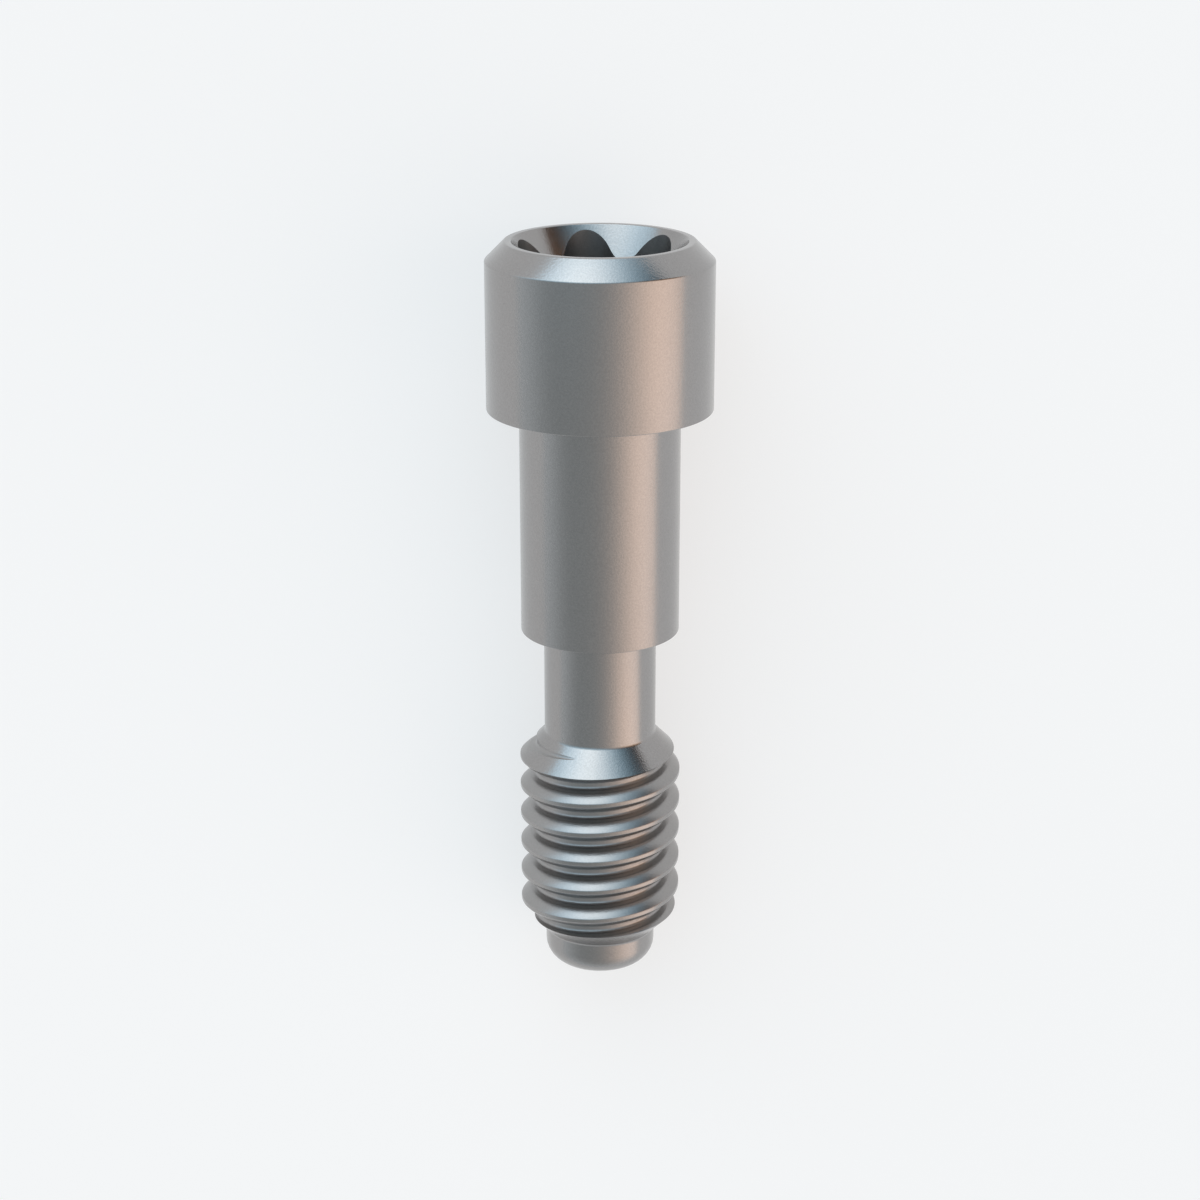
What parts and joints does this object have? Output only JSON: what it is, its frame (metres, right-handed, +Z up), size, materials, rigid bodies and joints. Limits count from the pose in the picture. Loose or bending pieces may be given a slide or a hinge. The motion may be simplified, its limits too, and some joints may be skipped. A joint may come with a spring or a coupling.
{
  "type": "dental prosthetic screw",
  "caption": "Dental prosthetic screw with a chamfered cylindrical head, a lobed driver socket, a smooth shank, a thin waist and a finely threaded end with a round-edged tip.",
  "frame": {"origin": "middle of the underside of the bounding box, on the surface the screw lies on", "axes": "+Y along the screw towards its head, +Z up. The screw lies on its side as it comes to rest, so its own axis rises about 3 degrees towards the head"},
  "size_m": [0.0024, 0.0084, 0.0025],
  "materials": {
    "titanium": "satin turned titanium alloy"
  },
  "bodies": {
    "root": {"prosthetic_screw": "titanium"}
  },
  "joints": []
}
